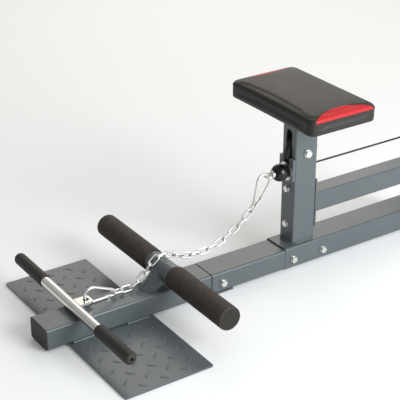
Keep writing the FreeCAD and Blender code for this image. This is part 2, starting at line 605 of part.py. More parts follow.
wheel = join("PulleyRim", [
    wheel_slice("RimRight", "Dims.pulley_radius", "Dims.pulley_radius",
                "-Dims.pulley_width / 2", RIM_LAND),
    wheel_slice("FlankRight", "Dims.pulley_radius", "Dims.pulley_groove",
                f"{RIM_LAND} - Dims.pulley_width / 2", FLANK),
    wheel_slice("GrooveBottom", "Dims.pulley_groove", "Dims.pulley_groove",
                f"-{GROOVE_HALF}", f"2 * {GROOVE_HALF}"),
    wheel_slice("FlankLeft", "Dims.pulley_groove", "Dims.pulley_radius", GROOVE_HALF, FLANK),
    wheel_slice("RimLeft", "Dims.pulley_radius", "Dims.pulley_radius",
                f"Dims.pulley_width / 2 - {RIM_LAND}", RIM_LAND)])
RECESS_RADIUS = "(Dims.pulley_groove - 8)"
RECESS_DEPTH = "((Dims.pulley_width - Dims.pulley_web) / 2)"
recesses = [ring(f"Recess{side}", RECESS_RADIUS, "Dims.hub_radius", RECESS_DEPTH,
                 (AXLE_X, start, "Dims.axle_level"), ALONG_Y)
            for side, start in (("Right", "-Dims.pulley_width / 2"),
                                ("Left", "Dims.pulley_web / 2"))]
node(cut("Pulley", wheel, recesses + [
    rod("PulleyBore", "Dims.bearing_radius", "2 * Dims.pulley_width",
        (AXLE_X, "-Dims.pulley_width", "Dims.axle_level"), ALONG_Y)]), "cable_pulley")

BALL_CIRCLE = "((Dims.axle_radius + Dims.bearing_radius) / 2)"
RACE_GAP = "(Dims.bearing_ball + Dims.running_gap)"
bearing_start = (AXLE_X, "-Dims.bearing_width / 2", "Dims.axle_level")
node(ring("BearingOuter", "Dims.bearing_radius", f"{BALL_CIRCLE} + {RACE_GAP}",
          "Dims.bearing_width", bearing_start, ALONG_Y), "bearing_outer_ring")
node(ring("BearingInner", f"{BALL_CIRCLE} - {RACE_GAP}", "Dims.axle_radius",
          "Dims.bearing_width", bearing_start, ALONG_Y), "bearing_inner_ring")
BALL_COUNT = 8
balls = []
for index in range(BALL_COUNT):
    turn = 360 / BALL_COUNT * index
    ball = doc.addObject("Part::Sphere", f"BearingBall{index}")
    ball.setExpression("Radius", "Dims.bearing_ball")
    balls.append(place(ball, f"{AXLE_X} + {BALL_CIRCLE} * cos({turn} deg)", "0",
                       f"Dims.axle_level + {BALL_CIRCLE} * sin({turn} deg)"))
node(group("BearingBalls", balls), "bearing_balls")

AXLE_WASHER = "Dims.washer_thickness"
HALF_POST = "Dims.post_width / 2"


def axle_point(along):
    return (AXLE_X, along, "Dims.axle_level")


node(join("Axle", [
    hexagon("AxleHead", "Dims.axle_head_flats", "Dims.bolt_head_height",
            axle_point(f"-({HALF_POST} + {AXLE_WASHER} + Dims.bolt_head_height)"), ALONG_Y),
    rod("AxleShank", "Dims.axle_radius",
        f"2 * ({HALF_POST} + {AXLE_WASHER}) + Dims.nut_height + Dims.axle_radius",
        axle_point(f"-({HALF_POST} + {AXLE_WASHER})"), ALONG_Y)]), "pulley_axle")
node(cut("AxleNut", hexagon("AxleNutBody", "Dims.axle_head_flats", "Dims.nut_height",
                            axle_point(f"{HALF_POST} + {AXLE_WASHER}"), ALONG_Y),
         [rod("AxleNutBore", "Dims.axle_radius", "Dims.nut_height",
              axle_point(f"{HALF_POST} + {AXLE_WASHER}"), ALONG_Y)]), "pulley_axle_nut")
node(group("AxleWashers", [
    ring(f"AxleWasher{side}", "Dims.axle_washer_radius", AXLE_HOLE, AXLE_WASHER,
         axle_point(start), ALONG_Y)
    for side, start in (("Right", f"-({HALF_POST} + {AXLE_WASHER})"), ("Left", HALF_POST))]),
     "pulley_axle_washers")
SPACER_LENGTH = f"({HALF_POST} - Dims.tube_wall - Dims.bearing_width / 2)"
node(group("AxleSpacers", [
    ring(f"AxleSpacer{side}", f"{BALL_CIRCLE} - {RACE_GAP}", AXLE_HOLE, SPACER_LENGTH,
         axle_point(start), ALONG_Y)
    for side, start in (("Right", f"Dims.tube_wall - {HALF_POST}"),
                        ("Left", "Dims.bearing_width / 2"))]), "pulley_spacers")

# ---------------------------------------------------------------- ball stop and cable
guide = block("GuideBlank", ("Dims.guide_thickness", "Dims.post_width",
                             "Dims.guide_top - Dims.guide_bottom"),
              (f"{POST_FRONT} - Dims.guide_thickness", "-Dims.post_width / 2",
               "Dims.guide_bottom"))
guide_tool_x = f"{POST_FRONT} - 2 * Dims.guide_thickness"
node(cut("BallGuide", guide, [
    block("GuideSlot", ("3 * Dims.guide_thickness", "Dims.slot_width", "Dims.guide_top"),
          (guide_tool_x, "-Dims.slot_width / 2", CABLE_LEVEL)),
    rod("GuideSlotEnd", "Dims.slot_width / 2", "3 * Dims.guide_thickness",
        (guide_tool_x, "0", CABLE_LEVEL), ALONG_X)]), "ball_guide")

ball = doc.addObject("Part::Sphere", "BallBlank")
ball.setExpression("Radius", "Dims.ball_radius")
place(ball, BALL_X, "0", CABLE_LEVEL)
BALL_BOX = ("Dims.ball_radius", "2 * Dims.ball_radius", "2 * Dims.ball_radius")
node(cut("BallStop", ball, [
    block("BallRearFlat", BALL_BOX, (BALL_REAR, "-Dims.ball_radius",
                                     f"{CABLE_LEVEL} - Dims.ball_radius")),
    block("BallFrontFlat", BALL_BOX, (f"{BALL_FRONT} - Dims.ball_radius", "-Dims.ball_radius",
                                      f"{CABLE_LEVEL} - Dims.ball_radius")),
    rod("BallBore", "Dims.cable_radius", "3 * Dims.ball_radius",
        (f"{BALL_X} - 1.5 * Dims.ball_radius", "0", CABLE_LEVEL), ALONG_X)]), "ball_stop")
node(ring("BallWasher", "Dims.ball_washer_radius", "Dims.cable_radius",
          "Dims.ball_washer_thickness", (BALL_REAR, "0", CABLE_LEVEL), ALONG_X), "ball_washer")


def torus(name, large, small, x):
    item = doc.addObject("Part::Torus", name)
    item.setExpression("Radius1", large)
    item.setExpression("Radius2", small)
    return place(item, x, "0", CABLE_LEVEL)


CABLE_FRONT = f"({BALL_FRONT} - Dims.collar_length / 2)"
CABLE_REAR = f"({FRONT} + Dims.cable_rear_from_front)"
CABLE_LENGTH = f"({CABLE_REAR} - {CABLE_FRONT})"
node(rod("Cable", "Dims.cable_radius", CABLE_LENGTH, (CABLE_FRONT, "0", CABLE_LEVEL), ALONG_X),
     "cable")
cable_room = rod("CableRoom", "Dims.cable_radius", CABLE_LENGTH,
                 (CABLE_FRONT, "0", CABLE_LEVEL), ALONG_X)
node(cut("FrontEye", join("FrontEyeBlank", [
    rod("FrontCollar", "Dims.collar_radius", "Dims.collar_length",
        (f"{BALL_FRONT} - Dims.collar_length", "0", CABLE_LEVEL), ALONG_X),
    torus("FrontEyeRing", "Dims.eye_radius", "Dims.eye_wire", EYE_X)]), [cable_room]),
     "cable_front_eye")
FERRULE_START = f"({CABLE_REAR} - Dims.ferrule_length + Dims.ferrule_radius)"
REAR_EYE_X = f"({CABLE_REAR} + Dims.ferrule_radius + Dims.eye_radius)"
rear_room = rod("CableRearRoom", "Dims.cable_radius", CABLE_LENGTH,
                (CABLE_FRONT, "0", CABLE_LEVEL), ALONG_X)
node(cut("RearEye", join("RearEyeBlank", [
    rod("Ferrule", "Dims.ferrule_radius", "Dims.ferrule_length",
        (FERRULE_START, "0", CABLE_LEVEL), ALONG_X),
    torus("RearEyeRing", "Dims.eye_radius", "Dims.eye_wire", REAR_EYE_X)]), [rear_room]),
     "cable_rear_eye")

# ---------------------------------------------------------------- seat
seat_blank = profile_body(
    "SeatBlank", "XY_Plane", [("Dims.seat_depth", "Dims.seat_width")], "Dims.seat_height",
    ["Dims.seat_corner"], (POST_MIDDLE, "0", "Dims.seat_bottom"))
seat_sides = seat_blank.Tip
top_face = max(seat_blank.Shape.Faces, key=lambda face: face.CenterOfMass.z)
top_names = [f"Edge{index}" for index, edge in enumerate(seat_blank.Shape.Edges, 1)
             if any(edge.isSame(other) for other in top_face.Edges)]
top_round = seat_blank.newObject("PartDesign::Fillet", "SeatTopRound")
top_round.Base = (seat_sides, top_names)
top_round.setExpression("Radius", "Dims.seat_edge")
doc.recompute()

BOARD_DEPTH = "(Dims.seat_depth - 2 * Dims.board_inset)"
BOARD_WIDTH = "(Dims.seat_width - 2 * Dims.board_inset)"
pocket_side = "2 * Dims.rest_gap"
node(cut("SeatCushion", seat_blank, [
    block("BoardRoom", (f"{BOARD_DEPTH} + {pocket_side}", f"{BOARD_WIDTH} + {pocket_side}",
                        "2 * Dims.board_thickness"),
          (f"{POST_MIDDLE} - {BOARD_DEPTH} / 2 - Dims.rest_gap",
           f"-{BOARD_WIDTH} / 2 - Dims.rest_gap",
           "Dims.seat_bottom - Dims.board_thickness + Dims.rest_gap")),
    ]), "seat_cushion")

screw_places = [(f"({POST_MIDDLE} + {along} * (Dims.seat_plate_depth / 2 - Dims.seat_screw_inset))",
                 f"({across} * (Dims.seat_plate_width / 2 - Dims.seat_screw_inset))")
                for along in (-1, 1) for across in (-1, 1)]
SCREW_HOLE = "(Dims.seat_screw + Dims.rest_gap)"
SCREW_BITE = "(Dims.board_thickness - 2)"


def screw_holes(name, start, depth):
    return [rod(f"{name}{index}", SCREW_HOLE, depth, (x, y, start))
            for index, (x, y) in enumerate(screw_places)]


board = profile_body("SeatBoardBlank", "XY_Plane", [(BOARD_DEPTH, BOARD_WIDTH)],
                     "Dims.board_thickness", ["Dims.seat_corner - Dims.board_inset"],
                     (POST_MIDDLE, "0", "Dims.seat_bottom"))
node(cut("SeatBoard", board, screw_holes("BoardHole", "Dims.seat_bottom - 1",
                                         f"{SCREW_BITE} + 1.5")), "seat_board")
seat_plate = profile_body("SeatPlateBlank", "XY_Plane",
                          [("Dims.seat_plate_depth", "Dims.seat_plate_width")],
                          SEAT_PLATE_THICKNESS, ["Dims.tube_corner"],
                          (POST_MIDDLE, "0", "Dims.post_top"))
node(cut("SeatPlate", seat_plate, screw_holes("PlateHole", "Dims.post_top - 1",
                                              f"{SEAT_PLATE_THICKNESS} + 2")), "seat_plate")
SCREW_HEAD = "Dims.tube_wall"
node(group("SeatScrews", [
    join(f"SeatScrew{index}", [
        rod(f"SeatScrewHead{index}", "2 * Dims.seat_screw", SCREW_HEAD,
            (x, y, f"Dims.post_top - {SCREW_HEAD}")),
        rod(f"SeatScrewShank{index}", "Dims.seat_screw",
            f"{SCREW_HEAD} + {SEAT_PLATE_THICKNESS} + {SCREW_BITE}",
            (x, y, f"Dims.post_top - {SCREW_HEAD}"))])
    for index, (x, y) in enumerate(screw_places)]), "seat_screws")

# ---------------------------------------------------------------- handle
BAR_INNER = "(Dims.bar_radius - Dims.bar_wall)"
GRIP_REACH = "(Dims.grip_length - Dims.grip_end)"
BAR_HALF = "(Dims.bar_length / 2 - Dims.grip_end)"
node(ring("HandleBar", "Dims.bar_radius", BAR_INNER, f"2 * {BAR_HALF}",
          (BAR_X, f"Dims.bar_offset - {BAR_HALF}", BAR_LEVEL), ALONG_Y), "handle_bar")
for side, outer_start, bore_start in (
        ("left", "Dims.bar_length / 2 - Dims.grip_length",
         "Dims.bar_length / 2 - Dims.grip_length"),
        ("right", "-Dims.bar_length / 2", "Dims.grip_end - Dims.bar_length / 2")):
    word = side.title()
    node(cut(f"Grip{word}", rod(
        f"GripBlank{word}", "Dims.grip_radius", "Dims.grip_length",
        (BAR_X, f"Dims.bar_offset + {outer_start}", BAR_LEVEL), ALONG_Y), [
        rod(f"GripBore{word}", "Dims.bar_radius", GRIP_REACH,
            (BAR_X, f"Dims.bar_offset + {bore_start}", BAR_LEVEL), ALONG_Y),
        rod(f"GripVent{word}", "Dims.grip_end", "Dims.grip_length",
            (BAR_X, f"Dims.bar_offset + {outer_start}", BAR_LEVEL), ALONG_Y)]),
         f"handle_grip_{side}")

LUG_HOLE_X = f"({BAR_X} + Dims.lug_reach - Dims.lug_hole - Dims.lug_thickness)"
lug_blank = profile_body("LugBlank", "XY_Plane", [("Dims.lug_reach", "Dims.lug_width")],
                         "Dims.lug_thickness", ["Dims.lug_thickness"],
                         (f"{BAR_X} + Dims.lug_reach / 2", "Dims.bar_offset",
                          f"{BAR_LEVEL} - Dims.lug_thickness / 2"))
node(cut("HandleLug", lug_blank, [
    rod("LugSaddle", "Dims.bar_radius", "2 * Dims.lug_width",
        (BAR_X, "Dims.bar_offset - Dims.lug_width", BAR_LEVEL), ALONG_Y),
    rod("LugHole", "Dims.lug_hole", "4 * Dims.lug_thickness",
        (LUG_HOLE_X, "Dims.bar_offset", f"{BAR_LEVEL} - 2 * Dims.lug_thickness"))]),
     "handle_lug")

# ---------------------------------------------------------------- snap hooks
# Bent-wire shapes have no sketch: each is swept along its own centre line. A hook is
# drawn flat in the XZ plane, with the apex of its wide end at the origin and its long
# axis along +X; the gate is on the lower (-Z) side.
WIRE, WIDE, NARROW = value("Dims.hook_wire"), value("Dims.hook_wide"), value("Dims.hook_narrow")
SPAN = value("Dims.hook_span")
TAPER = math.asin((WIDE - NARROW) / SPAN)
WIDE_CENTRE = Vector(WIDE, 0, 0)
NARROW_CENTRE = Vector(WIDE + SPAN, 0, 0)
GATE_WIRE, GATE_CHEEK = value("Dims.gate_wire"), value("Dims.gate_cheek")
GATE_PIN, RUNNING = value("Dims.gate_pin"), value("Dims.running_gap")
REST = value("Dims.rest_gap")
NOSE = WIRE
TONGUE = WIRE + 1.0
HOOK_REACH = WIDE + SPAN + NARROW


def side_normal(sign):
    """Outward normal of the hook's upper (+1) or lower (-1) straight side."""
    return Vector(math.sin(TAPER), 0, sign * math.cos(TAPER))


def swept(edges, radius):
    """Round wire along a path of edges."""
    path = Part.Wire(edges)
    start = path.OrderedEdges[0]
    point = start.valueAt(start.FirstParameter)
    ahead = start.tangentAt(start.FirstParameter)
    section = Part.Wire(Part.makeCircle(radius, point, ahead))
    return path.makePipeShell([section], True, False)


def cylinder(radius, length, start, direction):
    return Part.makeCylinder(radius, length, start, direction)


lower_wide = WIDE_CENTRE + side_normal(-1) * WIDE
lower_narrow = NARROW_CENTRE + side_normal(-1) * NARROW
upper_wide = WIDE_CENTRE + side_normal(1) * WIDE
upper_narrow = NARROW_CENTRE + side_normal(1) * NARROW
gate_way = (lower_wide - lower_narrow).normalize()
body_end = lower_narrow + gate_way * WIRE
hinge = body_end + gate_way * TONGUE
nose_end = lower_wide - gate_way * NOSE


def hook_shapes():
    """Hook body with its hinge tongue, gate with its two cheeks, and gate pin."""
    wire = swept([
        Part.LineSegment(body_end, lower_narrow).toShape(),
        Part.Arc(lower_narrow, NARROW_CENTRE + Vector(NARROW, 0, 0), upper_narrow).toShape(),
        Part.LineSegment(upper_narrow, upper_wide).toShape(),
        Part.Arc(upper_wide, Vector(), lower_wide).toShape(),
        Part.LineSegment(lower_wide, nose_end).toShape()], WIRE)
    tongue_half = GATE_WIRE - GATE_CHEEK + REST
    across = Vector(0, 1, 0)
    tongue_box = Part.makeBox(TONGUE + 1, 2 * tongue_half, 2 * GATE_WIRE,
                              Vector(-1, -tongue_half, -GATE_WIRE))
    turn = Rotation(gate_way, across, gate_way.cross(across), "XYZ")
    tongue_box.Placement = Placement(body_end, turn)
    tongue = tongue_box.fuse(cylinder(GATE_WIRE, 2 * tongue_half,
                                      hinge - across * tongue_half, across))
    pin_half = tongue_half + REST + GATE_CHEEK
    pin = cylinder(GATE_PIN, 2 * pin_half, hinge - across * pin_half, across)
    body = wire.fuse(tongue).cut(pin)
    rod_start = hinge + gate_way * (GATE_WIRE + 2 * REST)
    rod_length = (nose_end - rod_start).Length - 2 * REST
    gate = cylinder(GATE_WIRE, rod_length, rod_start, gate_way)
    for side in (-1, 1):
        inner = tongue_half + REST
        low = inner if side > 0 else -inner - GATE_CHEEK
        cheek = cylinder(GATE_WIRE, GATE_CHEEK, hinge + across * low, across)
        strap = Part.makeBox(2 * GATE_WIRE + 2 * REST, GATE_CHEEK, 2 * GATE_WIRE,
                             Vector(0, low, -GATE_WIRE))
        strap.Placement = Placement(hinge, turn)
        gate = gate.fuse(cheek.fuse(strap))
    gate = gate.cut(cylinder(GATE_PIN + RUNNING, 4 * pin_half, hinge - across * 2 * pin_half,
                             across))
    return body.removeSplitter(), gate.removeSplitter(), pin


def shaped(name, shape, placement=Placement()):
    """Piece whose shape is set by code, read from the sheet."""
    item = doc.addObject("Part::Feature", name)
    item.Shape = shape
    item.Placement = placement
    return item


RAIL_FRONT_X = value(FRONT)
BEAM_TOP_Z = value(BEAM_TOP)
CHAIN_Y = value("Dims.bar_offset")
# The rear hook hangs from the eye's front wire, its own wire round the inside of it.
rear_slope = value("Dims.rear_hook_slope")
eye_point = Vector(value(EYE_X) - value("Dims.eye_radius"), 0, value(CABLE_LEVEL))
rear_turn = Rotation(Vector(0, 1, 0), 180 - rear_slope) * Rotation(Vector(1, 0, 0), 180)
grip_reach = value("Dims.eye_wire") + WIRE + REST
rear_place = Placement(eye_point - rear_turn.multVec(Vector(grip_reach, 0, 0)), rear_turn)

# The front hook lies on its gate side on the beam, its wire through the lug's hole.
wide_level = BEAM_TOP_Z + REST + WIRE + WIDE
drop = wide_level - value(BAR_LEVEL)
wide_x = value(LUG_HOLE_X) + math.sqrt(WIDE ** 2 - drop ** 2)
front_apex = Vector(wide_x - WIDE * math.cos(TAPER), CHAIN_Y,
                    wide_level + WIDE * math.sin(TAPER))
front_place = Placement(front_apex, Rotation(Vector(0, 1, 0), math.degrees(TAPER)))

for label, placement in (("rear", rear_place), ("front", front_place)):
    for piece, shape in zip(("hook", "gate", "gate_pin"), hook_shapes()):
        name = f"{label.title()}{piece.title().replace('_', '')}"
        full = f"{label}_hook" if piece == "hook" else f"{label}_hook_{piece}"
        node(shaped(name, shape, placement), full)

# ---------------------------------------------------------------- chain
LINK_WIRE, LINK_WIDTH = value("Dims.link_wire"), value("Dims.link_width")
LINK_HALF_BEND = (LINK_WIDTH - 2 * LINK_WIRE) / 2
ROLL_ON_BEAM = 45
ROLL_LINKS = 3
SAG = value("Dims.chain_sag")
ROUTE_STEPS = 40
LIE_CLEAR = 5 * REST

# The chain leaves the rear hook's narrow end, sags, goes over the cross tube, lies
# down the leaning stub onto the beam, and ends in the front hook's narrow end.
contact = Vector(HOOK_REACH - WIRE - REST, 0, 0)
chain_start = rear_place.multVec(contact)
chain_end = front_place.multVec(contact)
tube_centre = Vector(value(ROLLER_X), 0, value("Dims.roller_level"))
lean_along = Vector(value(STUB_RUN), 0, value(STUB_RISE)).normalize()
lean_out = Vector(-lean_along.z, 0, lean_along.x)
lying_height = math.sin(math.radians(ROLL_ON_BEAM)) * LINK_HALF_BEND + LINK_WIRE
chord_sag = value("Dims.link_pitch") ** 2 / (8 * value("Dims.roller_tube"))
wrap_radius = value("Dims.roller_tube") + lying_height + chord_sag + 2 * REST


def on_wrap(angle):
    """Point over the cross tube, at an angle up from +X about the tube's centre."""
    return tube_centre + Vector(math.cos(angle), 0, math.sin(angle)) * wrap_radius


wrap_end = math.atan2(lean_out.z, lean_out.x)
leave = math.radians(value("Dims.chain_leave_angle"))
drape_end = on_wrap(leave)
route = []
for step in range(ROUTE_STEPS):
    along = step / ROUTE_STEPS
    point = chain_start + (drape_end - chain_start) * along
    route.append(point - Vector(0, 0, SAG * 4 * along * (1 - along)))
for step in range(ROUTE_STEPS):
    route.append(on_wrap(leave + (wrap_end - leave) * step / ROUTE_STEPS))
lie_level = BEAM_TOP_Z + lying_height + LIE_CLEAR
foot = on_wrap(wrap_end)
slide_length = (foot.z - lie_level) / lean_along.z
slide_end = foot - lean_along * slide_length
turn_length = value("Dims.link_pitch") * 0.7
route += [foot, slide_end + lean_along * turn_length]
bend_end = slide_end - Vector(turn_length, 0, 0)
for step in range(1, 8):
    along = step / 8
    route.append((slide_end + lean_along * turn_length) * (1 - along) ** 2
                 + slide_end * (2 * along * (1 - along)) + bend_end * along ** 2)
route += [bend_end, Vector(chain_end.x, 0, chain_end.z)]
drift_from, drift_to = chain_start.x, slide_end.x
for point in route:
    share = min(max((drift_from - point.x) / (drift_from - drift_to), 0), 1)
    point.y = CHAIN_Y * share
route[-1] = chain_end


def joints_along(pitch, count):
    """Points a pitch apart, measured straight, on the route; and what is left over."""
    points, index, here = [route[0]], 1, route[0]
    while len(points) <= count and index < len(route):
        if (route[index] - points[-1]).Length < pitch:
            here = route[index]
            index += 1
            continue
        low, high = here, route[index]
        for _ in range(40):
            middle = (low + high) * 0.5
            if (middle - points[-1]).Length < pitch:
                low = middle
            else:
                high = middle
        points.append(high)
        here = high
    return points, index >= len(route)


route_length = sum((b - a).Length for a, b in zip(route, route[1:]))
link_count = 2 * round((route_length / value("Dims.link_pitch") - 1) / 2) + 1
short_pitch, long_pitch = 0.8 * route_length / link_count, 1.1 * route_length / link_count
for _ in range(50):
    pitch = (short_pitch + long_pitch) / 2
    chain_joints, ran_out = joints_along(pitch, link_count)
    if ran_out and len(chain_joints) <= link_count:
        long_pitch = pitch
    else:
        short_pitch = pitch
chain_joints, _ = joints_along(short_pitch, link_count)
chain_joints = chain_joints[:link_count] + [chain_end]


def link_shape(length):
    """Closed link in the XY plane about the origin, long along X."""
    half, bend = length / 2, LINK_HALF_BEND
    straight = half - bend
    corners = [Vector(-straight, -bend, 0), Vector(straight, -bend, 0),
               Vector(straight, bend, 0), Vector(-straight, bend, 0)]
    path = Part.Wire([
        Part.LineSegment(corners[0], corners[1]).toShape(),
        Part.Arc(corners[1], Vector(half, 0, 0), corners[2]).toShape(),
        Part.LineSegment(corners[2], corners[3]).toShape(),
        Part.Arc(corners[3], Vector(-half, 0, 0), corners[0]).toShape()])
    section = Part.Wire(Part.makeCircle(LINK_WIRE, corners[0], Vector(1, 0, 0)))
    return path.makePipeShell([section], True, False)


links = []
for index, (start, end) in enumerate(zip(chain_joints, chain_joints[1:])):
    ahead = (end - start).normalize()
    side = Vector(0, 1, 0)
    above = ahead.cross(side).normalize() * -1
    side = above.cross(ahead)
    ramp = min(index, link_count - 1 - index, ROLL_LINKS) / ROLL_LINKS
    twist = math.radians(90 * index + ROLL_ON_BEAM * ramp)
    wide_way = side * math.cos(twist) + above * math.sin(twist)
    turn = Rotation(ahead, wide_way, ahead.cross(wide_way), "XYZ")
    length = (end - start).Length + 2 * (LINK_WIRE + value("Dims.link_slack"))
    link = link_shape(length)
    link.Placement = Placement((start + end) * 0.5, turn)
    links.append(link)

# Three lengths of chain, so that it can bend where it meets the cross tube.
over_tube = min(range(link_count), key=lambda index: abs(
    chain_joints[index].x - drape_end.x - short_pitch))
onto_beam = min(range(link_count), key=lambda index: abs(chain_joints[index].x - slide_end.x))
for label, first, last in (("chain_upper", 0, over_tube), ("chain_middle", over_tube, onto_beam),
                           ("chain_lower", onto_beam, link_count)):
    node(shaped(label.title().replace("_", ""), Part.makeCompound(links[first:last])), label)

# ---------------------------------------------------------------- check and write
doc.recompute()
faults = [f"{item.Name} {item.State}" for item in doc.Objects
          if "Invalid" in item.State or "Error" in item.State]
faults += [item.Label for item in nodes if item.Shape.isNull() or not item.Shape.isValid()]
if faults:
    raise RuntimeError("failed: " + ", ".join(faults))

os.makedirs("parts", exist_ok=True)
for item in nodes:
    item.Shape.exportStep(f"parts/{item.Label}.step")
print(f"{len(nodes)} nodes written")
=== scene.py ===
import math

import bmesh
import bpy
from mathutils import Matrix, Vector
from mathutils.bvhtree import BVHTree


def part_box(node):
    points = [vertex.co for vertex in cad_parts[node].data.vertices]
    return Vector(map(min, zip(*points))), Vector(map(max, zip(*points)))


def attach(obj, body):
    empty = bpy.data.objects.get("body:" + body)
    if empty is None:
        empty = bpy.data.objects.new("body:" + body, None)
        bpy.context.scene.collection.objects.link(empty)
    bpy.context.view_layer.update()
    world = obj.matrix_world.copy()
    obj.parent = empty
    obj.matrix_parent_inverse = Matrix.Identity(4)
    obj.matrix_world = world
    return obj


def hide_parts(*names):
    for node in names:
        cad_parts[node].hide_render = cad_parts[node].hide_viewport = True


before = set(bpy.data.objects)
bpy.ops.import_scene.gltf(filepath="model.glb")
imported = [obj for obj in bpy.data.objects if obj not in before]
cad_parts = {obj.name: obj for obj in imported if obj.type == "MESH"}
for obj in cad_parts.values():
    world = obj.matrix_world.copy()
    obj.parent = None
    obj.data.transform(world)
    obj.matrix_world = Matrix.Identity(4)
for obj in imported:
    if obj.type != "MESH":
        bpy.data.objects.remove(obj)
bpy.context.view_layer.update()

# ---------------------------------------------------------------- camera
# A studio camera with a long lens, in front of the foot plate and right of the rail.
# It looks down at the whole station.
camera_data = bpy.data.cameras.new("studio_camera")
camera_data.lens = 108.66
camera_data.sensor_width = 36
camera_data.clip_start, camera_data.clip_end = 0.05, 60
camera = bpy.data.objects.new("studio_camera", camera_data)
camera.location = (-1.77069, -2.40651, 1.71020)
camera.rotation_euler = (math.radians(63.733), 0, math.radians(-33.817))
bpy.context.scene.collection.objects.link(camera)
bpy.context.scene.camera = camera


# ---------------------------------------------------------------- materials kit
def linear(code):
    """Linear colour of an sRGB hex value."""
    parts = [int(code[at:at + 2], 16) / 255 for at in (0, 2, 4)]
    return [p / 12.92 if p <= 0.04045 else ((p + 0.055) / 1.055) ** 2.4
            for p in parts] + [1]


def surface(name, constants):
    """A new material, with constants set on its shader's sockets."""
    material = bpy.data.materials.new(name)
    material.use_nodes = True
    shader = material.node_tree.nodes["Principled BSDF"]
    for socket, value in constants.items():
        shader.inputs[socket].default_value = value
    return material


def add(owner, kind, inputs=None, **settings):
    """Adds a node to a material or world; an input takes a value or an output."""
    made = owner.node_tree.nodes.new(kind)
    for name, value in settings.items():
        setattr(made, name, value)
    for name, value in (inputs or {}).items():
        if isinstance(value, bpy.types.NodeSocket):
            owner.node_tree.links.new(value, made.inputs[name])
        else:
            made.inputs[name].default_value = value
    return made


def feed(material, output, socket):
    """Joins a node's output to a socket of the material's shader."""
    shader = material.node_tree.nodes["Principled BSDF"]
    material.node_tree.links.new(output, shader.inputs[socket])


def pattern(material, kind, size, inputs, stretch=None, **settings):
    """A texture in the object's own space, its features size millimetres across."""
    place = add(material, "ShaderNodeTexCoord").outputs["Object"]
    if stretch:
        place = add(material, "ShaderNodeMapping", {
            "Vector": place, "Scale": stretch}).outputs[0]
    made = add(material, kind, {"Vector": place, "Scale": 1000 / size, **inputs},
               **settings)
    return made.outputs[0]


def noise(material, size, detail=2, roughness=0.5, stretch=None):
    """Clouds of size millimetres."""
    return pattern(material, "ShaderNodeTexNoise", size,
                   {"Detail": detail, "Roughness": roughness}, stretch)


def cells(material, size, **settings):
    """Cells of size millimetres, as the distance from their middles."""
    return pattern(material, "ShaderNodeTexVoronoi", size, {}, **settings)


def blend(material, share, first, second):
    """A colour that goes from first to second as share goes from 0 to 1."""
    factor, colour_a, colour_b, colour_out = 0, 6, 7, 2
    made = add(material, "ShaderNodeMix", {
        factor: share, colour_a: first, colour_b: second}, data_type="RGBA")
    return made.outputs[colour_out]


def spread(owner, value, low, high, start=0, end=1):
    """A value clamped to start and end, and stretched to run from low to high."""
    made = add(owner, "ShaderNodeMapRange", {
        "Value": value, "From Min": start, "From Max": end,
        "To Min": low, "To Max": high})
    return made.outputs[0]


def calc(material, operation, *values):
    """Output of a maths node."""
    made = add(material, "ShaderNodeMath", dict(enumerate(values)), operation=operation)
    return made.outputs[0]


def tint(material, share, first, second):
    """Lets the base colour drift between two sRGB hex values."""
    feed(material, blend(material, share, linear(first), linear(second)), "Base Color")


def relief(material, height, strength, depth=0.0002):
    """Bumps the surface by a height."""
    bump = add(material, "ShaderNodeBump", {
        "Height": height, "Strength": strength, "Distance": depth})
    feed(material, bump.outputs["Normal"], "Normal")


def coat(names, material):
    """Gives drawn parts their finish."""
    for name in names:
        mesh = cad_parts[name].data
        mesh.materials.clear()
        mesh.materials.append(material)


# ---------------------------------------------------------------- shapes kit
MERGE = 1e-6


def neighbours(items, closed):
    """Each item with the one after it; round to the first where closed."""
    return list(zip(items, items[1:] + items[:1] if closed else items[1:]))


def new_piece(name, bm, material, body, replaced=()):
    """Turns a bmesh into a finished piece with its material, smooth and on its body; the
    drawn parts it replaces are hidden.
    """
    bmesh.ops.recalc_face_normals(bm, faces=bm.faces)
    mesh = bpy.data.meshes.new(name)
    bm.to_mesh(mesh)
    bm.free()
    mesh.materials.append(material)
    mesh.shade_smooth()
    made = bpy.data.objects.new(name, mesh)
    bpy.context.scene.collection.objects.link(made)
    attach(made, body)
    if replaced:
        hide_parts(*replaced)
    return made


def round_tube(name, route, radius, material, order, facets, closed=False):
    """A round tube along route, as a NURBS curve; capped where it isn't closed."""
    curve = bpy.data.curves.new(name, "CURVE")
    curve.dimensions = "3D"
    curve.bevel_depth = radius
    curve.bevel_resolution = facets
    curve.use_fill_caps = not closed
    line = curve.splines.new("NURBS")
    line.points.add(len(route) - 1)
    for point, at in zip(line.points, route):
        point.co = (*at, 1)
    line.order_u = order
    line.use_endpoint_u = not closed
    line.use_cyclic_u = closed
    curve.materials.append(material)
    made = bpy.data.objects.new(name, curve)
    bpy.context.scene.collection.objects.link(made)
    return made


def turned(bm, profile, centre, steps):
    """Turns a closed outline of (along Y, radius) points about an axis along Y."""
    corners = [bm.verts.new(centre + Vector((0, y, radius))) for y, radius in profile]
    edges = [bm.edges.new(pair) for pair in neighbours(corners, closed=True)]
    bmesh.ops.spin(bm, geom=corners + edges, cent=centre, axis=(0, 1, 0),
                   angle=math.tau, steps=steps, use_merge=True)
    bmesh.ops.remove_doubles(bm, verts=bm.verts, dist=MERGE)


# ---------------------------------------------------------------- cable
# Steel strand in a smooth black nylon coat, 5.6 mm over all, held taut by the
# machine behind: it runs from the collar at the ball stop to its rear ferrule.
CABLE_ROUTE = [(0.08275, 0, 0.2924), (0.2115, 0, 0.2924), (0.339, 0, 0.2924),
               (0.4675, 0, 0.2924), (0.596, 0, 0.2924)]
CABLE_DIAMETER = 0.0056

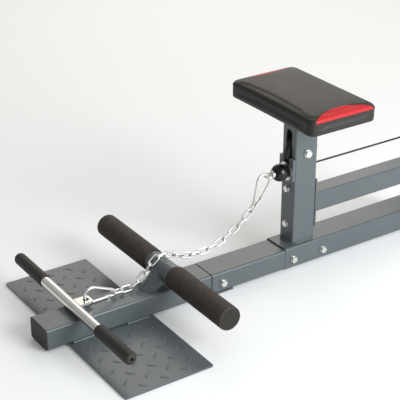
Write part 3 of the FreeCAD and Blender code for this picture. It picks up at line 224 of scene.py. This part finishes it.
# Extruded nylon: near black, an even gloss with faint 9 mm waves from the die.
nylon_coat = surface("extruded nylon coat", {
    "Base Color": linear("141312"), "Roughness": 0.3, "IOR": 1.53})
relief(nylon_coat, noise(nylon_coat, 9), 0.15, 0.0003)

cable = round_tube("coated_cable", CABLE_ROUTE, CABLE_DIAMETER / 2, nylon_coat,
                   order=3, facets=6)
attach(cable, "cable")
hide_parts("cable")

# ---------------------------------------------------------------- steel frame
# Rails, post, plates and stub are mild-steel tube and plate, welded, then powder
# coated anthracite in one go, so that one finish runs over all of them.
COATED = ["front_beam", "middle_beam", "base_rail", "front_joint_sleeve",
          "rear_joint_sleeve", "joint_floor_plate", "foot_plate", "roller_cross_tube",
          "roller_stub", "seat_post", "seat_plate", "upper_rail",
          "upper_rail_front_flange", "upper_rail_rear_flange",
          "base_rail_rear_flange", "ball_guide"]

# Powder coat: a blue-grey satin film, in patches a shade lighter. The melt leaves a
# fine orange peel, really 1 mm across, drawn 3 mm so that it shows.
powder_coat = surface("anthracite powder coat", {"IOR": 1.5})
tint(powder_coat, noise(powder_coat, 140, detail=3), "50575a", "5a6163")
satin = spread(powder_coat, noise(powder_coat, 45, detail=4), 0.25, 0.33)
feed(powder_coat, satin, "Roughness")
relief(powder_coat, noise(powder_coat, 3), 0.06, 0.0003)
coat(COATED, powder_coat)

# ---------------------------------------------------------------- tread bars
# The foot plate is rolled tread plate: lens-shaped bars stand 1.3 mm proud, 27 mm
# long, at 45 degrees and turned a quarter from one to the next, on a 61 mm lattice.
BAR_LONG, BAR_WIDE, BAR_PROUD, BAR_SUNK = 0.027, 0.0085, 0.0013, 0.0002
BAR_CORNERS = 16
# Two steps up each bar: the share of its height reached, and the share of the width
# of the step below that is left.
BAR_STEPS = ((0.6, 0.86), (1, 0.55))
LATTICE_X, LATTICE_Y = 0.0615, 0.0605
LATTICE_START = Vector((-0.530, -0.003))
LATTICE_ROWS, LATTICE_COLUMNS = range(-8, 9), range(-3, 5)
FRONT_CLEAR, EDGE_CLEAR = 0.006, 0.003

plate_low, plate_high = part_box("foot_plate")
beam_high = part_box("front_beam")[1]
bar_reach = BAR_LONG / 2 * math.cos(math.pi / 4)
spots = [(LATTICE_START.x + LATTICE_X * (column + quarter / 2),
          LATTICE_START.y + LATTICE_Y * (row + quarter / 2), quarter)
         for row in LATTICE_ROWS for column in LATTICE_COLUMNS for quarter in (0, 1)]
tread = bmesh.new()
for x, y, quarter in spots:
    beside_beam = abs(y) - bar_reach > beam_high.y + EDGE_CLEAR
    on_plate = (plate_low.x + FRONT_CLEAR < x - bar_reach
                and x + bar_reach < plate_high.x - EDGE_CLEAR
                and abs(y) + bar_reach < plate_high.y - EDGE_CLEAR)
    if not (beside_beam and on_plate):
        continue
    turn = Matrix.Rotation(math.radians(45 if quarter else -45), 4, "Z")
    stand = Matrix.Translation((x, y, plate_high.z - BAR_SUNK))
    made = bmesh.ops.create_circle(
        tread, cap_ends=True, segments=BAR_CORNERS, radius=1,
        matrix=stand @ turn @ Matrix.Diagonal((BAR_LONG / 2, BAR_WIDE / 2, 1, 1)))
    foot = made["verts"][0].link_faces[0]
    for rise, share in BAR_STEPS:
        raised = bmesh.ops.extrude_discrete_faces(tread, faces=[foot])
        foot = raised["faces"][0]
        middle = foot.calc_center_median()
        for vertex in foot.verts:
            vertex.co = middle + (vertex.co - middle) * share
            vertex.co.z = plate_high.z + BAR_PROUD * rise
bmesh.ops.remove_doubles(tread, verts=tread.verts, dist=MERGE)
new_piece("tread_bars", tread, powder_coat, "frame")

# ---------------------------------------------------------------- weld beads
# Shielded-arc fillet welds under the paint: a row of overlapping ripples, 2.4 mm
# apart, along the foot plate, round the post's foot and round the stub's foot.
RIPPLE, RIPPLE_NECK = 0.0024, 0.78
BEAD_CORNERS = 10
# A hand-laid bead swells and thins slowly: (share of the radius, turn per ring).
WANDER = ((0.1, 1.9), (0.08, 0.7))
# Beads lie a little above the drawn welds' feet, and stop short of their ends.
BEAD_UP = 0.001
PLATE_BEAD, PLATE_BEAD_OUT, PLATE_BEAD_SHORT = 0.0045, 0.0008, 0.003
POST_BEAD, POST_BEAD_OUT, POST_BEAD_SHORT = 0.0034, 0.0006, 0.002


def ripple_bead(bm, route, radius, closed=False):
    """A rippled bead along points: a ring carried along, swelling at each ripple."""
    stops = []
    for start, end in neighbours(route, closed):
        steps = max(2, round((end - start).length / RIPPLE * 2))
        stops += [(start.lerp(end, step / steps), (end - start).normalized())
                  for step in range(steps)]
    if not closed:
        stops.append((route[-1], (route[-1] - route[-2]).normalized()))
    rings = []
    for number, (at, ahead) in enumerate(stops):
        swell = 1 if number % 2 else RIPPLE_NECK
        swell *= 1 + sum(share * math.sin(number * rate) for share, rate in WANDER)
        turn = ahead.to_track_quat("Z", "Y").to_matrix().to_4x4()
        made = bmesh.ops.create_circle(
            bm, cap_ends=False, segments=BEAD_CORNERS, radius=radius * swell,
            matrix=Matrix.Translation(at) @ turn)
        rings.append(made["verts"])
    for pair in neighbours(rings, closed):
        edges = {edge for ring in pair for vertex in ring
                 for edge in vertex.link_edges if edge.other_vert(vertex) in ring}
        bmesh.ops.bridge_loops(bm, edges=list(edges))
    if not closed:
        for ring in (rings[0], rings[-1]):
            bmesh.ops.contextual_create(bm, geom=ring)


def drawn_runs(name):
    """Lowest and highest corner of each separate solid of a drawn part."""
    bm = bmesh.new()
    bm.from_mesh(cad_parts[name].data)
    bmesh.ops.remove_doubles(bm, verts=bm.verts, dist=MERGE)
    left = set(bm.verts)
    boxes = []
    while left:
        found, waiting = set(), [left.pop()]
        while waiting:
            vertex = waiting.pop()
            found.add(vertex)
            for edge in vertex.link_edges:
                other = edge.other_vert(vertex)
                if other in left:
                    left.discard(other)
                    waiting.append(other)
        corners = [vertex.co for vertex in found]
        boxes.append((Vector(min(c[k] for c in corners) for k in range(3)),
                      Vector(max(c[k] for c in corners) for k in range(3))))
    bm.free()
    return boxes


plate_bead = bmesh.new()
for low, high in drawn_runs("foot_plate_welds"):
    y = low.y + PLATE_BEAD_OUT if low.y > 0 else high.y - PLATE_BEAD_OUT
    z = low.z + BEAD_UP
    ripple_bead(plate_bead, [Vector((low.x + PLATE_BEAD_SHORT, y, z)),
                             Vector((high.x - PLATE_BEAD_SHORT, y, z))], PLATE_BEAD)
new_piece("foot_plate_beads", plate_bead, powder_coat, "frame",
          ["foot_plate_welds"])

post_low, post_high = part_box("seat_post")
post_middle = (post_low + post_high) / 2
post_bead = bmesh.new()
for low, high in drawn_runs("seat_post_welds"):
    middle = (low + high) / 2
    z = low.z + BEAD_UP
    if high.x - low.x > high.y - low.y:
        left_side = middle.y > 0
        y = post_high.y + POST_BEAD_OUT if left_side else post_low.y - POST_BEAD_OUT
        ends = [Vector((low.x + POST_BEAD_SHORT, y, z)),
                Vector((high.x - POST_BEAD_SHORT, y, z))]
    else:
        rear_side = middle.x > post_middle.x
        x = post_high.x + POST_BEAD_OUT if rear_side else post_low.x - POST_BEAD_OUT
        ends = [Vector((x, low.y + POST_BEAD_SHORT, z)),
                Vector((x, high.y - POST_BEAD_SHORT, z))]
    ripple_bead(post_bead, ends, POST_BEAD)
new_piece("seat_post_beads", post_bead, powder_coat, "frame",
          ["seat_post_welds"])

# The stub leans at 47.6 degrees, so its foot meets the beam in an oval.
STUB_FOOT, STUB_RADIUS, STUB_LEAN = -0.313, 0.027, math.radians(47.6)
STUB_BEAD, STUB_BEAD_OUT, OVAL_POINTS = 0.0032, 0.0004, 40
oval_x = STUB_RADIUS / math.sin(STUB_LEAN) + STUB_BEAD_OUT
oval_y = STUB_RADIUS + STUB_BEAD_OUT
oval = [Vector((STUB_FOOT + oval_x * math.cos(a), oval_y * math.sin(a),
                beam_high.z + STUB_BEAD_OUT))
        for a in [math.tau * step / OVAL_POINTS for step in range(OVAL_POINTS)]]
stub_bead = bmesh.new()
ripple_bead(stub_bead, oval, STUB_BEAD, closed=True)
new_piece("stub_foot_bead", stub_bead, powder_coat, "frame")

# ---------------------------------------------------------------- plastic caps
# Push-in caps of black-brown polypropylene close the front beam and the foot-hold's
# tube. Moulding leaves a dull, faintly pebbled face.
CAPS = ["front_end_cap", "roller_plug_left", "roller_plug_right"]
polypropylene = surface("moulded polypropylene", {
    "Roughness": 0.55, "IOR": 1.49, "Specular IOR Level": 0.35})
tint(polypropylene, noise(polypropylene, 30), "1e1a16", "2a2621")
relief(polypropylene, cells(polypropylene, 1.6), 0.2)
coat(CAPS, polypropylene)

# ---------------------------------------------------------------- foam rollers
# Tubes of closed-cell nitrile foam pushed over the foot-hold's cross tube. The cut
# ends are a little rounded, the skin is dull, and shallow dents run round it.
FOAM_BORE, FOAM_DENT, FOAM_FACETS = 0.02856, 0.00024, 72
# How far in from a cut end, and how far below the skin.
FOAM_END = [(0, 0.0032), (0.0008, 0.0014), (0.0026, 0.0005)]
DENTS, DENTS_FROM_END, DENT_RATE = 11, 0.006, 1.7
nitrile_foam = surface("closed-cell nitrile foam", {
    "Roughness": 0.75, "IOR": 1.45, "Specular IOR Level": 0.3})
tint(nitrile_foam, noise(nitrile_foam, 16, detail=8, roughness=0.75),
     "1d1815", "5a5048")
# Pores are really 0.5 mm; 2.4 mm ones show.
relief(nitrile_foam, cells(nitrile_foam, 2.4), 0.55, 0.0005)

for side, word in ((1, "left"), (-1, "right")):
    low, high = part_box(f"foam_roller_{word}")
    centre = Vector(((low.x + high.x) / 2, 0, (low.z + high.z) / 2))
    outer = (high.z - low.z) / 2
    near, far = sorted((abs(low.y), abs(high.y)))
    outline = [(near, FOAM_BORE)]
    outline += [(near + along, outer - drop) for along, drop in FOAM_END]
    for number in range(DENTS):
        along = (near + DENTS_FROM_END
                 + (far - near - 2 * DENTS_FROM_END) * number / (DENTS - 1))
        dent = FOAM_DENT * (math.sin((number + 1) * DENT_RATE) * 0.5 + 0.5)
        outline.append((along, outer - dent))
    outline += [(far - along, outer - drop) for along, drop in reversed(FOAM_END)]
    outline.append((far, FOAM_BORE))
    sleeve = bmesh.new()
    turned(sleeve, [(side * y, radius) for y, radius in outline], centre, FOAM_FACETS)
    foam = new_piece(f"foam_sleeve_{word}", sleeve, nitrile_foam, f"{word}_roller",
                     [f"foam_roller_{word}"])

# ---------------------------------------------------------------- zinc-plated parts
# Bolts, nuts, washers, chain, hooks, eyes and screws are steel with bright zinc
# plate: pale silver with a faint blue and yellow cast that drifts over each part.
PLATED = ["frame_bolts", "frame_nuts", "frame_washers", "pulley_axle",
          "pulley_axle_nut", "pulley_axle_washers", "seat_screws", "ball_washer",
          "cable_front_eye", "cable_rear_eye", "rear_hook", "rear_hook_gate",
          "rear_hook_gate_pin", "front_hook", "front_hook_gate",
          "front_hook_gate_pin", "chain_upper", "chain_middle", "chain_lower"]
zinc_plate = surface("bright zinc plate", {"Metallic": 1})
tint(zinc_plate, noise(zinc_plate, 14), "dde1e2", "e2dfd4")
dull = noise(zinc_plate, 5, detail=3)
feed(zinc_plate, spread(zinc_plate, dull, 0.28, 0.46), "Roughness")
relief(zinc_plate, dull, 0.12)
coat(PLATED, zinc_plate)

# ---------------------------------------------------------------- pulley
# A glass-filled nylon pulley on a ball bearing. The moulding is black and dull,
# clouded by its fibres; the bearing and the spacers are ground steel.
GROUND = ["bearing_outer_ring", "bearing_inner_ring", "bearing_balls", "pulley_spacers"]
filled_nylon = surface("glass-filled nylon", {"Roughness": 0.48, "IOR": 1.53})
fibres = noise(filled_nylon, 4, detail=5)
tint(filled_nylon, fibres, "121212", "1f1e1d")
relief(filled_nylon, fibres, 0.2)
coat(["cable_pulley"], filled_nylon)
ground_steel = surface("ground bearing steel", {
    "Base Color": linear("c4c4c2"), "Metallic": 1})
polish = spread(ground_steel, noise(ground_steel, 2, detail=4), 0.18, 0.32)
feed(ground_steel, polish, "Roughness")
coat(GROUND, ground_steel)

# ---------------------------------------------------------------- ball stop
# A 50 mm ball of hard black rubber, threaded on the cable. It is moulded in a
# polished tool, so it has a deep gloss and only faint flow marks.
hard_rubber = surface("polished hard rubber", {"IOR": 1.52, "Specular IOR Level": 0.4})
flow = noise(hard_rubber, 18)
tint(hard_rubber, flow, "080706", "0f0d0c")
feed(hard_rubber, spread(hard_rubber, flow, 0.16, 0.26), "Roughness")
coat(["ball_stop"], hard_rubber)

# ---------------------------------------------------------------- bar and lug
# The straight bar is drawn steel tube with satin chrome, polished lengthwise; the
# lug is flame-cut steel plate, ground flat and left bare.
satin_chrome = surface("satin chrome", {"Base Color": linear("dddad2"), "Metallic": 1})
lines = noise(satin_chrome, 1.5, detail=3, stretch=(1, 0.04, 1))
feed(satin_chrome, spread(satin_chrome, lines, 0.1, 0.17), "Roughness")
relief(satin_chrome, lines, 0.1)
coat(["handle_bar"], satin_chrome)
coat(["handle_lug"], ground_steel)

# ---------------------------------------------------------------- grips
# Slip-on grips of soft black rubber, 160 mm long: well rounded at the closed outer
# end, which has a small vent hole, and a little rounded at the inner end.
VENT, BORE, END_WALL, GRIP_FACETS = 0.004, 0.0147, 0.0039, 56
VENT_FLARE, FLARE_DEPTH = 0.001, 0.0005
# How far in from the end, and how far below the skin.
GRIP_INNER = [(0, 0.0012), (0.0008, 0.0003), (0.003, 0)]
GRIP_OUTER = [(0.012, 0), (0.0080, 0.0004), (0.0042, 0.0019), (0.0014, 0.0046),
              (0, 0.0085)]
grip_rubber = surface("soft grip rubber", {
    "Roughness": 0.6, "IOR": 1.52, "Specular IOR Level": 0.35})
tint(grip_rubber, noise(grip_rubber, 35, detail=4), "211e1a", "38332d")
relief(grip_rubber, noise(grip_rubber, 1.8), 0.25)
for side, word in ((1, "left"), (-1, "right")):
    low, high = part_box(f"handle_grip_{word}")
    centre = Vector(((low.x + high.x) / 2, 0, (low.z + high.z) / 2))
    wide = (high.z - low.z) / 2
    inner_end, outer_end = (low.y, high.y) if side > 0 else (high.y, low.y)
    outline = [(inner_end, BORE)]
    outline += [(inner_end + side * along, wide - drop) for along, drop in GRIP_INNER]
    outline += [(outer_end - side * along, wide - drop) for along, drop in GRIP_OUTER]
    outline += [(outer_end, VENT + VENT_FLARE), (outer_end - side * FLARE_DEPTH, VENT),
                (outer_end - side * END_WALL, VENT), (outer_end - side * END_WALL, BORE)]
    sleeve = bmesh.new()
    turned(sleeve, outline, centre, GRIP_FACETS)
    new_piece(f"grip_sleeve_{word}", sleeve, grip_rubber, "handle",
              [f"handle_grip_{word}"])

# ---------------------------------------------------------------- seat board
# The seat's board is birch plywood, its grain along the seat's longer side.
birch_ply = surface("raw birch plywood", {"Roughness": 0.7})
grain = noise(birch_ply, 6, detail=5, stretch=(1, 0.08, 1))
tint(birch_ply, grain, "b08a5c", "caa878")
relief(birch_ply, grain, 0.2)
coat(["seat_board"], birch_ply)

# ---------------------------------------------------------------- seat cushion
# Upholstery foam under black vinyl, drawn tight over the board: a top panel with a
# red crescent let in at each short end, and a side band, joined by a piped seam.
CRESCENT_HALF, CRESCENT_DEEP, CRESCENT_EDGE = 0.101, 0.033, 0.0003
GROOVE, GROOVE_DEPTH = 0.001, 4
SHRINK, VOXEL, MOST_SWELL = 0.001, 0.004, 0.003
CROWN, WAIST = 0.0075, 0.0022
CORNER, RIM, HEM, ON_LEVEL = 0.022, 0.010, 0.004, 0.001
STAPLED, PRESSURE, CLOTH_FRAMES = 0.006, 4, 20
SEAM_DROP = 0.0105
seat_low, seat_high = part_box("seat_cushion")
seat_middle = (seat_low + seat_high) / 2
half_deep, half_wide = ((seat_high - seat_low) / 2).xy
seam_level = seat_high.z - SEAM_DROP

# Vinyl: an embossed leather grain, really 0.8 mm, drawn 1.8 mm, and an oily sheen.
# It is red past a bow across each short end, above the seam.
vinyl = surface("embossed vinyl", {"IOR": 1.54, "Specular IOR Level": 0.35})
axes = add(vinyl, "ShaderNodeSeparateXYZ", {
    "Vector": add(vinyl, "ShaderNodeTexCoord").outputs["Object"]}).outputs
chord = calc(vinyl, "ADD", axes["X"], -seat_middle.x)
chord = calc(vinyl, "DIVIDE", chord, CRESCENT_HALF)
bow = calc(vinyl, "MULTIPLY", chord, chord)
bow = calc(vinyl, "MULTIPLY_ADD", bow, CRESCENT_DEEP, half_wide - CRESCENT_DEEP)
past = calc(vinyl, "SUBTRACT", calc(vinyl, "ABSOLUTE", axes["Y"]), bow)
inlay = spread(vinyl, past, 0, 1, -CRESCENT_EDGE, CRESCENT_EDGE)
above = spread(vinyl, axes["Z"], 0, 1, seam_level, seam_level + 2 * CRESCENT_EDGE)
red = calc(vinyl, "MULTIPLY", inlay, above)
worn = noise(vinyl, 80, detail=4)
black = blend(vinyl, worn, linear("1b1814"), linear("2b2822"))
feed(vinyl, blend(vinyl, red, black, linear("ba0c14")), "Base Color")
feed(vinyl, spread(vinyl, worn, 0.42, 0.55), "Roughness")
grain = cells(vinyl, 1.8, feature="SMOOTH_F1")
# The seam round each crescent is a shallow groove, 2 mm wide.
ditch = spread(vinyl, calc(vinyl, "ABSOLUTE", past), -GROOVE_DEPTH, 0, 0, GROOVE)
relief(vinyl, calc(vinyl, "ADD", grain, ditch), 0.22, 0.0003)


def rounded(bm, edges, radius, segments):
    """Rounds edges of a bmesh."""
    bmesh.ops.bevel(bm, geom=edges, offset=radius, affect="EDGES", segments=segments,
                    profile=0.5, material=-1)


def settled(piece):
    """Works out a piece's modifiers, keeps the mesh they give and takes them off."""
    graph = bpy.context.evaluated_depsgraph_get()
    mesh = bpy.data.meshes.new_from_object(piece.evaluated_get(graph), depsgraph=graph)
    piece.modifiers.clear()
    piece.data = mesh


# The foam block, cut a little small: the cover swells it to size.
block = bmesh.new()
block_size = seat_high - seat_low - Vector((2 * SHRINK, 2 * SHRINK, SHRINK))
block_middle = seat_middle - Vector((0, 0, SHRINK / 2))
bmesh.ops.create_cube(block, size=1, matrix=Matrix.Translation(block_middle)
                      @ Matrix.Diagonal((*block_size, 1)))
rounded(block, [edge for edge in block.edges
                if abs(edge.verts[0].co.z - edge.verts[1].co.z) > ON_LEVEL], CORNER, 8)
rounded(block, [edge for edge in block.edges
                if min(vertex.co.z for vertex in edge.verts)
                > seat_high.z - SHRINK - ON_LEVEL], RIM, 5)
rounded(block, [edge for edge in block.edges
                if max(vertex.co.z for vertex in edge.verts)
                < seat_low.z + ON_LEVEL], HEM, 3)
cushion = new_piece("seat_cover", block, vinyl, "frame",
                    ["seat_cushion"])
remesh = cushion.modifiers.new("even mesh", "REMESH")
remesh.mode = "VOXEL"
remesh.voxel_size = VOXEL
settled(cushion)
# The foam is cut with a crown, and the cover draws the long sides in between corners.
for vertex in cushion.data.vertices:
    across = (vertex.co.x - seat_middle.x) / (block_size.x / 2)
    along = (vertex.co.y - seat_middle.y) / (block_size.y / 2)
    height_share = (vertex.co.z - seat_low.z) / block_size.z
    dome = max(0, 1 - across ** 4) * max(0, 1 - along ** 4)
    vertex.co.z += CROWN * dome * height_share ** 2
    vertex.co.x -= across * WAIST * max(0, 1 - along ** 2)
cushion.data.shade_smooth()

# The cover is blown out as cloth, stapled at the hem. Only its way outwards is kept,
# so that no edge is pulled in.
start = [vertex.co.copy() for vertex in cushion.data.vertices]
held = cushion.vertex_groups.new(name="stapled")
held.add([number for number, at in enumerate(start)
          if at.z < seat_low.z + STAPLED], 1, "REPLACE")
cloth = cushion.modifiers.new("cover", "CLOTH")
cloth.settings.use_pressure = True
cloth.settings.uniform_pressure_force = PRESSURE
cloth.settings.effector_weights.gravity = 0
cloth.settings.vertex_group_mass = "stapled"
for number in range(CLOTH_FRAMES):
    bpy.context.scene.frame_set(number + 1)
graph = bpy.context.evaluated_depsgraph_get()
swollen = [vertex.co.copy() for vertex in cushion.evaluated_get(graph).data.vertices]
cushion.modifiers.clear()
bpy.context.scene.frame_set(1)
outward = [vertex.normal.copy() for vertex in cushion.data.vertices]
for vertex, before, after, way in zip(cushion.data.vertices, start, swollen, outward):
    swell = min(max((after - before).dot(way), 0), MOST_SWELL)
    vertex.co = before + way * swell
    vertex.co.z = max(vertex.co.z, seat_low.z)
cushion.data.shade_smooth()
smoother = cushion.modifiers.new("smooth", "SUBSURF")
smoother.levels = smoother.render_levels = 1
settled(cushion)
cushion.data.shade_smooth()

# Piping: a cord in a vinyl tube, sewn into the seam round the top panel. Rays cast
# inwards find the swollen cover, so that the piping follows it all the way round.
PIPING, PIPING_SUNK, PIPING_STEP = 0.0019, 0.15, 0.012
CORNER_STEPS, RAY_START = 6, 0.02
cover = bmesh.new()
cover.from_mesh(cushion.data)
skin = BVHTree.FromBMesh(cover)
cover.free()
rounds = []
for right, up, first in ((1, 1, 0), (-1, 1, 90), (-1, -1, 180), (1, -1, 270)):
    for step in range(CORNER_STEPS + 1):
        a = math.radians(first + step * 90 / CORNER_STEPS)
        rounds.append((Vector((right * (half_deep - CORNER) + CORNER * math.cos(a),
                               up * (half_wide - CORNER) + CORNER * math.sin(a), 0)),
                       Vector((math.cos(a), math.sin(a), 0))))
seam_middle = Vector((seat_middle.x, seat_middle.y, seam_level))
piping_route = []
for (one, way_one), (two, way_two) in neighbours(rounds, closed=True):
    steps = max(1, round((two - one).length / PIPING_STEP))
    for step in range(steps):
        at = seam_middle + one.lerp(two, step / steps)
        way = way_one.lerp(way_two, step / steps)
        hit = skin.ray_cast(at + way * RAY_START, -way)[0] or at
        piping_route.append(hit - way * PIPING * PIPING_SUNK)
piping = round_tube("seat_piping", piping_route, PIPING, vinyl, order=4, facets=3,
                    closed=True)
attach(piping, "frame")

# ---------------------------------------------------------------- studio
# A pale floor in a white room.
FLOOR_HALF, FLOOR_DROP = 14, 0.0005
floor_bm = bmesh.new()
bmesh.ops.create_grid(floor_bm, x_segments=1, y_segments=1, size=FLOOR_HALF)
floor_mesh = bpy.data.meshes.new("studio_floor")
floor_bm.to_mesh(floor_mesh)
floor_bm.free()
floor = bpy.data.objects.new("studio_floor", floor_mesh)
bpy.context.scene.collection.objects.link(floor)
floor.location.z = -FLOOR_DROP
floor_mesh.materials.append(
    surface("white paper", {"Base Color": linear("fafaf8"), "Roughness": 0.9}))

# The room is dim in front of the foot plate and bright behind the machine.
DIM_WALL, BRIGHT_WALL = 0.26, 1.0
room = bpy.data.worlds.new("white_room")
room.use_nodes = True
backdrop = room.node_tree.nodes["Background"]
backdrop.inputs["Color"].default_value = linear("f4f6f8")
heading = add(room, "ShaderNodeTexCoord").outputs["Generated"]
split = add(room, "ShaderNodeSeparateXYZ", {0: heading})
walls = spread(room, split.outputs["X"], DIM_WALL, BRIGHT_WALL, -1, 1)
room.node_tree.links.new(walls, backdrop.inputs["Strength"])
bpy.context.scene.world = room
bpy.context.scene.view_settings.view_transform = "Standard"

# A weak warm soft light stands behind the station, as the camera sees it. A strong
# one stands right of the camera, at the camera's height. Both point at the station.
LIGHTS = [("back_softbox", (1.6, 2.6, 2.2), 2.4, 24, "fff3e2"),
          ("key_softbox", (1.0, -3.2, 1.7), 2.2, 150, "f6faff")]
AIM = Vector((0, 0, 0.15))
for name, at, wide, power, colour in LIGHTS:
    light = bpy.data.lights.new(name, "AREA")
    light.size = wide
    light.energy = power
    light.color = linear(colour)[:3]
    lamp = bpy.data.objects.new(name, light)
    lamp.location = at
    lamp.rotation_euler = (AIM - Vector(at)).to_track_quat("-Z", "Y").to_euler()
    bpy.context.scene.collection.objects.link(lamp)
